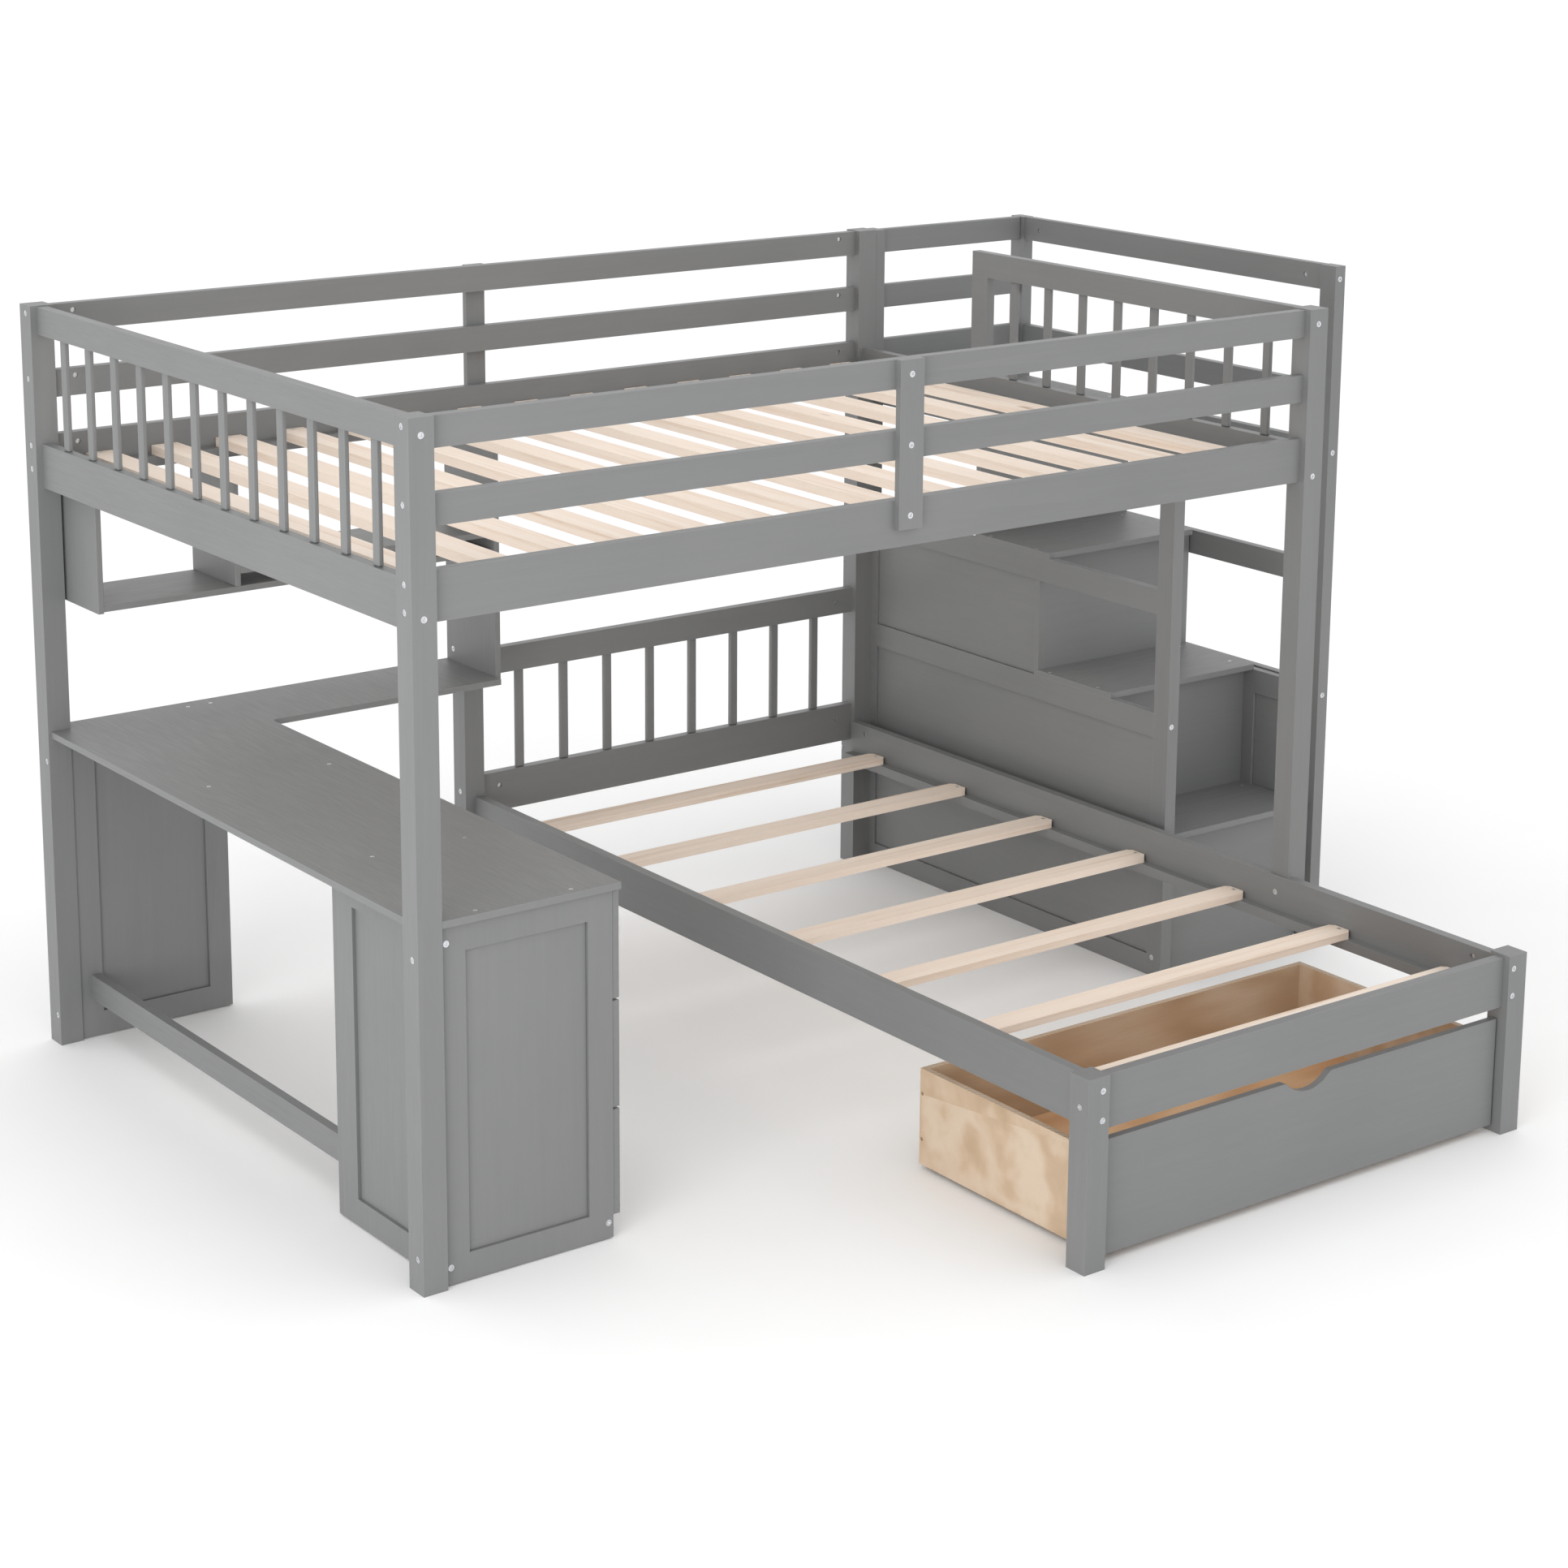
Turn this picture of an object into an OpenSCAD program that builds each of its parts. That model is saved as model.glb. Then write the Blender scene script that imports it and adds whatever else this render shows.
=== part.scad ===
// Loft bed over an L-shaped desk, with a lower bed across it and stairs at its right end.
// Millimetres, +Z up, X along the wall, +Y towards the wall.
// The origin is on the floor, at the centre of the whole footprint.

/* [Loft] */
// length of the loft, post to post
loft_l = 2000; // [1990:5:2040]
// depth of the loft, front to wall
loft_w = 1427; // [1420:1:1440]
// height of the guard rails
guard_top = 1455; // [1440:5:1480]
// side of a square post
post = 46; // [44:1:48]
// thickness of rails and boards that stand on edge
rail_t = 20; // [18:1:20]
// height of a guard rail
guard_h = 52; // [46:1:56]
// top edge of the loft's side rails
side_top = 1209; // [1205:1:1213]
// height of a side rail of the loft
side_h = 84; // [80:1:88]

/* [Spindles and slats] */
// width of a spindle
spindle_w = 20; // [16:1:26]
// thickness of a spindle
spindle_t = 10; // [8:1:14]
// width of a loft slat
slat_w = 54; // [50:1:60]
// thickness of a slat of the loft
slat_t = 18; // [16:1:20]

/* [Lower bed] */
// left edge of the lower bed
bed_x = 925; // [920:1:930]
// width of the lower bed
bed_w = 1066; // [1060:1:1068]
// how far the lower bed stands out in front of the loft
bed_out = 573; // [560:1:590]
// top edge of the lower bed's rails
bed_rail_top = 338; // [334:1:340]
// height of the lower bed's side rails
bed_rail_h = 90; // [86:1:92]

/* [Under-bed drawer] */
// height of the drawer's front
bed_drawer_h = 207; // [190:1:210]
// depth of the drawer's box
bed_drawer_d = 475; // [400:5:500]
// radius of a caster's wheel
wheel_r = 13; // [12:1:14]

/* [Desk] */
// top of the desk
desk_z = 635; // [630:1:640]
// thickness of the desktop
desk_t = 12; // [10:1:14]
// depth of the desk's main wing
desk_wing = 390; // [385:1:392]
// depth of the desk's wing along the wall
desk_back = 212; // [200:1:230]

/* [Desk drawers] */
// number of drawers in the pedestal
drawers = 3; // [3:1:3]
// how far a desk drawer comes out
drawer_travel = 240; // [180:10:250]
// thickness of a desk drawer's front
drawer_front_t = 14; // [12:1:16]

/* [Stairs] */
// width of the stairs, outside
stair_w = 460; // [450:5:480]
// front face of the stairs' front posts
stair_y = 400; // [395:1:405]
// width of a stair post
stair_post_w = 28; // [26:1:30]
// depth of a stair post
stair_post_d = 43; // [40:1:46]
// number of treads, counting the landing
treads = 4; // [4:1:4]
// thickness of a tread
tread_t = 12; // [10:1:15]

/* [Hidden] */
$fn = 32;

grey = [0.42, 0.42, 0.42];
pine = [0.86, 0.76, 0.64];
ply = [0.80, 0.68, 0.52];
zinc = [0.75, 0.76, 0.78];
black = [0.08, 0.08, 0.08];

// Loft
post_top = guard_top + 2;
right_x = loft_l - post;
back_y = loft_w - post;
inset = (post - rail_t) / 2;
mid = post / 2;
mid_guard_top = guard_top - 124;
side_z = side_top - side_h;
end_rail_z = side_z - 14;
end_rail_top = end_rail_z + side_h;
batten_w = 52;
batten_t = 13;
batten_x = 969;
back_batten_x = 963;
back_batten_w = 44;
batten_z = 1157;
ledger = 20;
slat_z = 1148;
slat_count = 14;
slat_first = 105;
slat_last = right_x - 71;
slat_pitch = (slat_last - slat_first) / (slat_count - 1);
slat_gap = 1.5;
end_spindles = 12;
entry_spindles = 8;
entry_first = 133;
entry_pitch = 106.7;
stile_w = 50;
entry_y = 958;

// Lower bed
bed_right = bed_x + bed_w;
bed_edge = 22.5;
bed_rail_z = bed_rail_top - bed_rail_h;
bed_left_rail = bed_x + bed_edge;
bed_right_rail = bed_right - bed_edge - rail_t;
bed_foot_top = 345;
foot_rail_y = -bed_out + inset;
foot_rail_z = 245;
bed_slat_w = 53;
bed_slat_t = 14;
bed_slat_count = 7;
bed_slat_first = -442;
bed_slat_pitch = 287;
bed_slat_top = bed_rail_z + ledger + bed_slat_t;
head_post_top = 680;
head_top = 648;
head_top_z = 592;
head_low_top = 378;
head_low_z = 293;
head_spindles = 8;

// Under-bed drawer
board_t = 12;
bed_drawer_x0 = bed_x + post + 4;
bed_drawer_x1 = bed_right - post - 4;
bed_drawer_y = foot_rail_y + 7;
bed_drawer_front_t = 15;
bed_drawer_z = 14;
bed_box_x0 = bed_drawer_x0 + 10;
bed_box_x1 = bed_drawer_x1 - 10;
bed_box_y0 = bed_drawer_y + bed_drawer_front_t;
bed_box_y1 = bed_box_y0 + bed_drawer_d;
bed_box_z = 9;
bed_box_top = 190;
bed_bottom_z = 34;
bed_bottom_t = 6;
notch_r = 72;
notch_d = 24.5;
notch_round = 16;
wheel_w = 14;
wheel_in_x = 23;
wheel_in_y = 50;
axle_r = 3;
axle_fit = 0.06;

// Desk
desk_x = 6;
pedestal_x0 = 48;
pedestal_x1 = desk_wing - 12;
pedestal_y0 = 10;
pedestal_y1 = 368;
pedestal_t = 18;
frame_w = 48;
frame_top = desk_z - desk_t;
panel_t = 6;
base_z = 3;
toe_z = 42;
drawer_gap = 4;
drawer_h = (frame_top - 5 - toe_z - 2 * drawer_gap) / drawers;
drawer_front_x = pedestal_x1 + 1;
drawer_y0 = pedestal_y0 + 2;
drawer_y1 = pedestal_y1 - 2;
drawer_box_t = 12;
drawer_box_h = 130;
drawer_box_lift = 28;
drawer_box_d = 290;
drawer_side_gap = 13;
runner_t = 12;
runner_h = 40;
box_bottom_t = 6;
desk_end = bed_x;
back_edge = loft_w - desk_back;
support_x1 = 374;
support_y = loft_w - 42;
corner_r = 12;
hutch_y = 1248;
hutch_t = 12;
hutch_z = 886;
hutch_left_x = 52;
hutch_divider_x = 338;
hutch_right_y = 1236;
shelf_z = 889;
high_shelf_z = 925;
hutch_top = side_z;
hutch_back = loft_w;

// Stairs
stair_x0 = loft_l;
stair_x1 = loft_l + stair_w;
stair_outer_x = stair_x1 - stair_post_w;
stair_back = loft_w - stair_post_d;
outer_t = 18;
outer_rail_x = stair_outer_x + (stair_post_w - outer_t) / 2;
outer_rails = [guard_top - guard_h, 1155, 1034, 775, 514];
treads_y = [stair_y, stair_y + 175, stair_y + 378, stair_y + 581];
treads_top = [309, 576, 836, 1096];
nosing = 28;
landing = treads - 1;
riser_t = 12;
stair_frame_t = 18;
stair_frame_x = stair_outer_x - stair_frame_t;
cleat_w = 30;
cleat_h = 20;
panel_in = 5;
low_rail_h = 45;
side_rail_h = 52;
side_rail_tops = [low_rail_h, treads_top[1] - tread_t, treads_top[2] - tread_t];
back_stile = 24;
middle_stile_y = 571;

// Fasteners
head_r = 6;
head_h = 3;
shank_r = 3;
hole_play = 0.25;
sink = 0.5;
nut_tail = 8;
nut_r = 5;
nut_len = 12;
nut_depth = 15;
nut_hole_r = nut_r + hole_play;
bolt_len = post + 46 + nut_tail;
frame_bolt_len = post + frame_w / 2 + nut_tail;
short_bolt_len = 24;
screw_head_r = 4;
screw_r = 2;
screw_len = 26;

// Every bolt is [point on the face, direction, length, direction of the barrel nut's hole].
front_in = [0, -1, 0];
back_in = [0, 1, 0];
left_in = [-1, 0, 0];
right_in = [1, 0, 0];
no_nut = [0, 0, 0];
long_bolt_z = [guard_top - 14, mid_guard_top - 14, side_top - 19, side_top - 64];
end_bolt_z = [guard_top - 27, end_rail_z + 24];
batten_bolt_z = [guard_top - guard_h / 2, mid_guard_top - guard_h / 2, side_top - 28];
loft_bolts = concat(
    [for (z = long_bolt_z) [[0, mid, z], right_in, bolt_len, front_in]],
    [for (z = long_bolt_z) [[0, back_y + mid, z], right_in, bolt_len, back_in]],
    [for (z = long_bolt_z) [[loft_l, mid, z], left_in, bolt_len, front_in]],
    [for (z = long_bolt_z) [[loft_l, back_y + mid, z], left_in, bolt_len, back_in]],
    [for (z = end_bolt_z) [[mid, 0, z], back_in, bolt_len, left_in]],
    [for (z = end_bolt_z) [[mid, loft_w, z], front_in, bolt_len, left_in]],
    [for (z = end_bolt_z) [[right_x + mid, 0, z], back_in, bolt_len, right_in]],
    [[[right_x + mid, loft_w, end_bolt_z[1]], front_in, bolt_len, right_in]]
);
batten_bolts = concat(
    [for (z = batten_bolt_z) [[batten_x + batten_w / 2, 0, z], back_in, short_bolt_len, no_nut]],
    [for (z = batten_bolt_z)
        [[back_batten_x + back_batten_w / 2, loft_w, z], front_in, short_bolt_len, no_nut]]
);
bed_rail_mid = [bed_left_rail + rail_t / 2, bed_right_rail + rail_t / 2];
foot_bolt_z = 291;
side_bolt_z = [bed_rail_top - 19, bed_rail_top - 71];
head_bolt_z = [(head_top + head_top_z) / 2, 348];
bed_bolts = concat(
    [[[bed_x, foot_rail_y + rail_t / 2, foot_bolt_z], right_in, bolt_len, front_in]],
    [[[bed_right, foot_rail_y + rail_t / 2, foot_bolt_z], left_in, bolt_len, front_in]],
    [for (z = side_bolt_z) [[bed_rail_mid[0], -bed_out, z], back_in, bolt_len, left_in]],
    [for (z = side_bolt_z) [[bed_rail_mid[1], -bed_out, z], back_in, bolt_len, right_in]],
    [for (z = side_bolt_z) [[bed_rail_mid[0], loft_w, z], front_in, bolt_len, left_in]],
    [for (z = side_bolt_z) [[bed_rail_mid[1], loft_w, z], front_in, bolt_len, right_in]],
    [for (z = head_bolt_z) [[bed_x, back_y + mid, z], right_in, bolt_len, back_in]],
    [for (z = head_bolt_z) [[loft_l, back_y + mid, z], left_in, bolt_len, back_in]],
    [[[bed_right_rail, 29, 303], right_in, 42, no_nut]],
    [[[bed_x - hutch_t, back_y + mid, 659], right_in, hutch_t + 28, no_nut]]
);
desk_bolt_z = [59, 574];
desk_bolts = concat(
    [for (z = desk_bolt_z) [[0, pedestal_y0 + pedestal_t / 2, z], right_in, frame_bolt_len, front_in]],
    [for (z = desk_bolt_z) [[0, support_y + pedestal_t / 2, z], right_in, frame_bolt_len, front_in]],
    [for (p = [[59, 592], [59, 32], [369, 30]])
        [[p[0], pedestal_y0, p[1]], back_in, pedestal_t + 12, no_nut]]
);
stair_rail_y = stair_y + stair_post_d;
stair_bolt_x = stair_x0 + 11;
outer_mid_x = outer_rail_x + outer_t / 2;
outer_bolt_z = [guard_top - 27, 1063, 540];
stair_bolts = concat(
    [[[stair_bolt_x, stair_y, 541], back_in, bolt_len, left_in]],
    [for (z = outer_bolt_z) [[outer_mid_x, stair_y, z], back_in, bolt_len, right_in]],
    [for (z = outer_bolt_z) [[outer_mid_x, loft_w, z], front_in, bolt_len, right_in]],
    [[[stair_x0, stair_y + 28, low_rail_h - 5], right_in, short_bolt_len, no_nut]]
);
all_bolts = concat(loft_bolts, batten_bolts, bed_bolts, desk_bolts, stair_bolts);

// Every screw is [point on the face, direction].
down = [0, 0, -1];
desk_screws = [
    for (p = [
        [119, 19], [303, 19], [123, 358], [305, 358], [86, 885], [333, 885], [301, 1394], [350, 1394]
    ])
        [[p[0], p[1], desk_z], down]
];
slat_screws = concat(
    [for (i = [0:slat_count - 1], y = [43, loft_w - 43])
        [[slat_x(i) + slat_w / 2, y, slat_z + slat_t], down]],
    [for (i = [0:bed_slat_count - 1], x = [bed_left_rail + 30, bed_right_rail - 10])
        [[x, bed_slat_y(i), bed_slat_top], down]]
);
tread_screws = [
    for (i = [0:treads - 1], x = [tread_screw_x(i), stair_frame_x - cleat_w + 6], k = [0, 1])
        [[x, tread_screw_y(i, k), treads_top[i]], down]
];
all_screws = concat(desk_screws, slat_screws, tread_screws);

function slat_x(i) = slat_first + i * slat_pitch;
function bed_slat_y(i) = bed_slat_first + i * bed_slat_pitch;
function tread_end(i) = i == landing ? stair_back : riser_y(i + 1);
function riser_y(i) = treads_y[i] + nosing;
function tread_x(i) = stair_x0 + (i == 0 ? stair_frame_t : 0);
function tread_screw_x(i) = stair_x0 + (i == 0 || i == landing ? stair_frame_t + 8 : 9);
function tread_screw_y(i, k) =
    k == 0 ? max(treads_y[i] + 50, stair_rail_y + 12) : tread_end(i) - 30;

// a board between two opposite corners
module board(low, high) {
    translate(low)
        cube(high - low);
}

// moves a piece from the loft's front left corner to the origin at the footprint's centre
module placed() {
    translate([-stair_x1 / 2, (bed_out - loft_w) / 2, 0])
        children();
}

// turns +Z to a direction along an axis
module aimed(point, direction) {
    turn = direction[2] == -1 ? [180, 0, 0]
        : [direction[1] * -90, direction[0] * 90, 0];
    translate(point)
        rotate(turn)
            children();
}

// the hole that a bolt takes, with its head's recess and its nut's cross hole
module bolt_hole(bolt) {
    aimed(bolt[0], bolt[1]) {
        translate([0, 0, -1])
            cylinder(r = head_r + hole_play, h = head_h + sink + 1);
        cylinder(r = shank_r + hole_play, h = bolt[2] + 1);
    }
    if (norm(bolt[3]) > 0)
        aimed(nut_mouth(bolt), bolt[3])
            cylinder(r = nut_hole_r, h = nut_depth);
}

function nut_mouth(bolt) = bolt[0] + bolt[1] * (bolt[2] - nut_tail) - bolt[3] * rail_t / 2;

module bolt(bolt) {
    aimed(bolt[0] + bolt[1] * sink, bolt[1])
        difference() {
            union() {
                cylinder(r = head_r, h = head_h);
                cylinder(r = shank_r, h = bolt[2] - sink);
            }
            translate([0, 0, -1])
                cylinder(r = 2.6, h = 3, $fn = 6);
        }
}

module barrel_nut(bolt) {
    difference() {
        aimed(nut_mouth(bolt) + bolt[3] * (nut_depth - nut_len), bolt[3])
            cylinder(r = nut_r, h = nut_len);
        aimed(bolt[0], bolt[1])
            cylinder(r = shank_r + hole_play, h = bolt[2] + 1);
    }
}

module screw_hole(screw) {
    aimed(screw[0], screw[1]) {
        translate([0, 0, -1])
            cylinder(r = screw_head_r + hole_play, h = head_h + 1);
        cylinder(r = screw_r + hole_play, h = screw_len + 1);
    }
}

module screw(screw) {
    aimed(screw[0], screw[1])
        difference() {
            union() {
                translate([0, 0, 0.2])
                    cylinder(r = screw_head_r, h = head_h - 0.2);
                cylinder(r = screw_r, h = screw_len);
            }
            translate([0, 0, -1])
                cylinder(r = 1.6, h = 2.4, $fn = 4);
        }
}

// a wooden piece with the holes of some bolts and screws
module drilled(bolts, screws = []) {
    difference() {
        union()
            children();
        for (b = bolts)
            bolt_hole(b);
        for (s = screws)
            screw_hole(s);
    }
}

// Loft

module corner_posts() {
    color(grey)
        placed()
            drilled(concat(loft_bolts, desk_bolts))
                for (p = [[0, 0], [0, back_y]])
                    board([p[0], p[1], 0], [p[0] + post, p[1] + post, post_top]);
    color(grey)
        placed()
            drilled(concat(loft_bolts, bed_bolts))
                board([right_x, back_y, 0], [loft_l, loft_w, post_top]);
}

module front_right_post() {
    color(grey)
        placed()
            drilled(concat(loft_bolts, bed_bolts))
                difference() {
                    board([right_x, 0, bed_rail_z], [loft_l, post, post_top]);
                    board([right_x - 1, -1, bed_rail_z - 1],
                        [bed_right_rail + rail_t, post + 1, bed_rail_top]);
                }
}

module long_rails(y) {
    for (top = [guard_top, mid_guard_top])
        board([post, y, top - guard_h], [right_x, y + rail_t, top]);
    board([post, y, side_z], [right_x, y + rail_t, side_top]);
}

module front_rails() {
    color(grey)
        placed()
            drilled(concat(loft_bolts, batten_bolts))
                long_rails(inset);
}

module back_rails() {
    color(grey)
        placed()
            drilled(concat(loft_bolts, batten_bolts))
                long_rails(back_y + inset);
}

module guard_battens() {
    color(grey)
        placed()
            drilled(batten_bolts) {
                board([batten_x, 0, batten_z], [batten_x + batten_w, batten_t, guard_top]);
                board([back_batten_x, loft_w - batten_t, batten_z],
                    [back_batten_x + back_batten_w, loft_w, guard_top]);
            }
}

module left_end_rails() {
    color(grey)
        placed()
            drilled(loft_bolts) {
                board([inset, post, guard_top - guard_h], [inset + rail_t, back_y, guard_top]);
                board([inset, post, end_rail_z], [inset + rail_t, back_y, end_rail_top]);
            }
}

// upright spindles along Y, centred in the thickness of the rails
module end_spindle(x, y) {
    board([x + mid - spindle_t / 2, y - spindle_w / 2, end_rail_top],
        [x + mid + spindle_t / 2, y + spindle_w / 2, guard_top - guard_h]);
}

module left_end_spindles() {
    gap = (back_y - post - end_spindles * spindle_w) / (end_spindles + 1);
    color(grey)
        placed()
            for (i = [0:end_spindles - 1])
                end_spindle(0, post + gap + spindle_w / 2 + i * (gap + spindle_w));
}

module entry_end_rails() {
    x = right_x + inset;
    color(grey)
        placed()
            drilled(loft_bolts) {
                board([x, post, guard_top - guard_h], [x + rail_t, entry_y + stile_w, guard_top]);
                board([x, post, end_rail_z], [x + rail_t, back_y, end_rail_top]);
                board([x, entry_y, end_rail_top], [x + rail_t, entry_y + stile_w, guard_top - guard_h]);
            }
}

module entry_end_spindles() {
    color(grey)
        placed()
            for (i = [0:entry_spindles - 1])
                end_spindle(right_x, entry_first + i * entry_pitch);
}

module loft_ledgers() {
    color(grey)
        placed()
            drilled([], slat_screws)
                for (y = [inset + rail_t, back_y + inset - ledger])
                    board([post, y, slat_z - ledger], [right_x, y + ledger, slat_z]);
}

module loft_slats() {
    color(pine)
        placed()
            drilled([], slat_screws)
                for (i = [0:slat_count - 1])
                    board([slat_x(i), inset + rail_t + slat_gap, slat_z],
                        [slat_x(i) + slat_w, back_y + inset - slat_gap, slat_z + slat_t]);
}

// Lower bed

module bed_posts() {
    color(grey)
        placed()
            drilled(bed_bolts) {
                for (x = [bed_x, bed_right - post])
                    board([x, -bed_out, 0], [x + post, post - bed_out, bed_foot_top]);
                board([bed_x, back_y, 0], [bed_x + post, loft_w, head_post_top]);
            }
}

module bed_side_rails() {
    color(grey)
        placed()
            drilled(bed_bolts)
                for (x = [bed_left_rail, bed_right_rail])
                    board([x, post - bed_out, bed_rail_z], [x + rail_t, back_y, bed_rail_top]);
}

module bed_foot_rail() {
    color(grey)
        placed()
            drilled(bed_bolts)
                board([bed_x + post, foot_rail_y, foot_rail_z],
                    [bed_right - post, foot_rail_y + rail_t, bed_rail_top + 2]);
}

module headboard_rails() {
    y = back_y + inset;
    color(grey)
        placed()
            drilled(bed_bolts) {
                board([bed_x + post, y, head_top_z], [right_x, y + rail_t, head_top]);
                board([bed_x + post, y, head_low_z], [right_x, y + rail_t, head_low_top]);
            }
}

module headboard_spindles() {
    y = back_y + mid;
    gap = (right_x - bed_x - post - head_spindles * spindle_w) / (head_spindles + 1);
    color(grey)
        placed()
            for (i = [0:head_spindles - 1])
                translate([bed_x + post + gap + i * (gap + spindle_w), 0, 0])
                    board([0, y - spindle_t / 2, head_low_top], [spindle_w, y + spindle_t / 2, head_top_z]);
}

module bed_ledgers() {
    color(grey)
        placed()
            drilled([], slat_screws)
                for (x = [bed_left_rail + rail_t, bed_right_rail - ledger])
                    board([x, post - bed_out, bed_rail_z], [x + ledger, back_y, bed_rail_z + ledger]);
}

// a slat of the lower bed has its end corners cut off
module bed_slat() {
    clip = 9;
    x0 = bed_left_rail + rail_t + slat_gap;
    x1 = bed_right_rail - slat_gap;
    half = bed_slat_w / 2;
    linear_extrude(bed_slat_t)
        polygon([
            [x0 + clip, -half], [x1 - clip, -half], [x1, clip - half], [x1, half - clip],
            [x1 - clip, half], [x0 + clip, half], [x0, half - clip], [x0, clip - half]
        ]);
}

module bed_slats() {
    color(pine)
        placed()
            drilled([], slat_screws)
                for (i = [0:bed_slat_count - 1])
                    translate([0, bed_slat_y(i), bed_rail_z + ledger])
                        bed_slat();
}

// Under-bed drawer

// a shallow round notch for the fingers, with its two top corners rounded over
module finger_notch(t) {
    reach = sqrt(pow(notch_r + notch_round, 2) - pow(notch_r + notch_round - notch_d, 2));
    share = notch_r / (notch_r + notch_round);
    meet = notch_d - notch_r + share * (notch_r + notch_round - notch_d);
    translate([0, notch_d - notch_r, 0])
        cylinder(r = notch_r, h = t);
    for (side = [-1, 1])
        difference() {
            linear_extrude(t)
                polygon([
                    [0, -1], [side * share * reach, meet], [side * reach, notch_round],
                    [side * reach, -1]
                ]);
            translate([side * reach, notch_round, -1])
                cylinder(r = notch_round, h = t + 2);
        }
}

module bed_drawer_front() {
    middle = (bed_drawer_x0 + bed_drawer_x1) / 2;
    top = bed_drawer_z + bed_drawer_h;
    y0 = bed_drawer_y;
    color(grey)
        placed()
            difference() {
                board([bed_drawer_x0, y0, bed_drawer_z], [bed_drawer_x1, y0 + bed_drawer_front_t, top]);
                translate([middle, y0 - 1, top])
                    rotate([-90, 0, 0])
                        finger_notch(bed_drawer_front_t + 2);
            }
}

module bed_drawer_box() {
    color(ply)
        placed()
            difference() {
                union() {
                    for (x = [bed_box_x0, bed_box_x1 - board_t])
                        board([x, bed_box_y0, bed_box_z], [x + board_t, bed_box_y1, bed_box_top]);
                    for (y = [bed_box_y0, bed_box_y1 - board_t])
                        board([bed_box_x0, y, bed_box_z], [bed_box_x1, y + board_t, bed_box_top]);
                }
                for (x = [bed_box_x0 - 1, bed_box_x1 - 8], z = [57, 143])
                    translate([x, bed_box_y1 - board_t / 2, z])
                        rotate([0, 90, 0])
                            cylinder(r = 3.5, h = 9);
            }
}

module bed_drawer_bottom() {
    color(ply)
        placed()
            board([bed_box_x0 + board_t, bed_box_y0 + board_t, bed_bottom_z],
                [bed_box_x1 - board_t, bed_box_y1 - board_t, bed_bottom_z + bed_bottom_t]);
}

wheel_places = [
    for (y = [bed_box_y0 + wheel_in_y, bed_box_y1 - wheel_in_y],
        x = [bed_box_x0 + wheel_in_x, bed_box_x1 - wheel_in_x]) [x, y]
];

// a caster is a plate with two cheeks and an axle
module caster_bracket() {
    cheek = 2;
    play = 1;
    half = wheel_w / 2 + play;
    plate_t = 2.5;
    color(zinc)
        placed() {
            board([-half - cheek, -16, bed_bottom_z - plate_t], [half + cheek, 16, bed_bottom_z]);
            for (x = [-half - cheek, half])
                board([x, -6, wheel_r - 6], [x + cheek, 6, bed_bottom_z - plate_t]);
            translate([-half - cheek, 0, wheel_r])
                rotate([0, 90, 0])
                    cylinder(r = axle_r, h = 2 * (half + cheek));
        }
}

module caster_brackets() {
    for (p = wheel_places)
        translate([p[0], p[1], 0])
            caster_bracket();
}

module caster_wheel(p) {
    color(black)
        placed()
            translate([p[0] - wheel_w / 2, p[1], wheel_r])
                rotate([0, 90, 0])
                    difference() {
                        cylinder(r = wheel_r, h = wheel_w, $fn = 64);
                        translate([0, 0, -1])
                            cylinder(r = axle_r + axle_fit, h = wheel_w + 2);
                    }
}

// Desk

module desktop() {
    color(grey)
        placed()
            drilled([], desk_screws)
                difference() {
                    union() {
                        board([desk_x, 0, frame_top], [desk_wing, loft_w - 1, desk_z]);
                        board([desk_x, back_edge, frame_top], [desk_end - hutch_t, loft_w - 1, desk_z]);
                        // the inner corner is rounded
                        difference() {
                            board([desk_wing, back_edge - corner_r, frame_top],
                                [desk_wing + corner_r, back_edge, desk_z]);
                            translate([desk_wing + corner_r, back_edge - corner_r, frame_top - 1])
                                cylinder(r = corner_r, h = desk_t + 2);
                        }
                    }
                    for (y = [-1, back_y - 0.5])
                        board([desk_x - 1, y, frame_top - 1], [post + 0.5, y + post + 1.5, desk_z + 1]);
                }
}

// a batten across under the desktop, and a stretcher low down between pedestal and wall
module desk_rails() {
    color(grey)
        placed()
            drilled([], desk_screws) {
                board([70, 875, frame_top - 40], [desk_wing - 16, 895, frame_top]);
                board([70, pedestal_y1, 80], [70 + pedestal_t, support_y, 130]);
            }
}

// a frame of two stiles and two rails in the XZ plane, with a groove's worth of panel space
module upright_frame(x0, x1, y, z0, z1, w) {
    for (x = [x0, x1 - w])
        board([x, y, z0], [x + w, y + pedestal_t, z1]);
    for (z = [z0, z1 - w])
        board([x0 + w, y, z], [x1 - w, y + pedestal_t, z + w]);
}

module support_frame() {
    color(grey)
        placed()
            drilled(desk_bolts, desk_screws)
                upright_frame(post, support_x1, support_y, base_z, frame_top, frame_w);
}

module support_panel() {
    y = support_y + 6;
    color(grey)
        placed()
            board([post + frame_w, y, base_z + frame_w],
                [support_x1 - frame_w, y + panel_t, frame_top - frame_w]);
}

module pedestal_front_frame() {
    color(grey)
        placed()
            drilled(desk_bolts, desk_screws)
                upright_frame(post, pedestal_x1, pedestal_y0, base_z, frame_top, frame_w);
}

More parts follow.
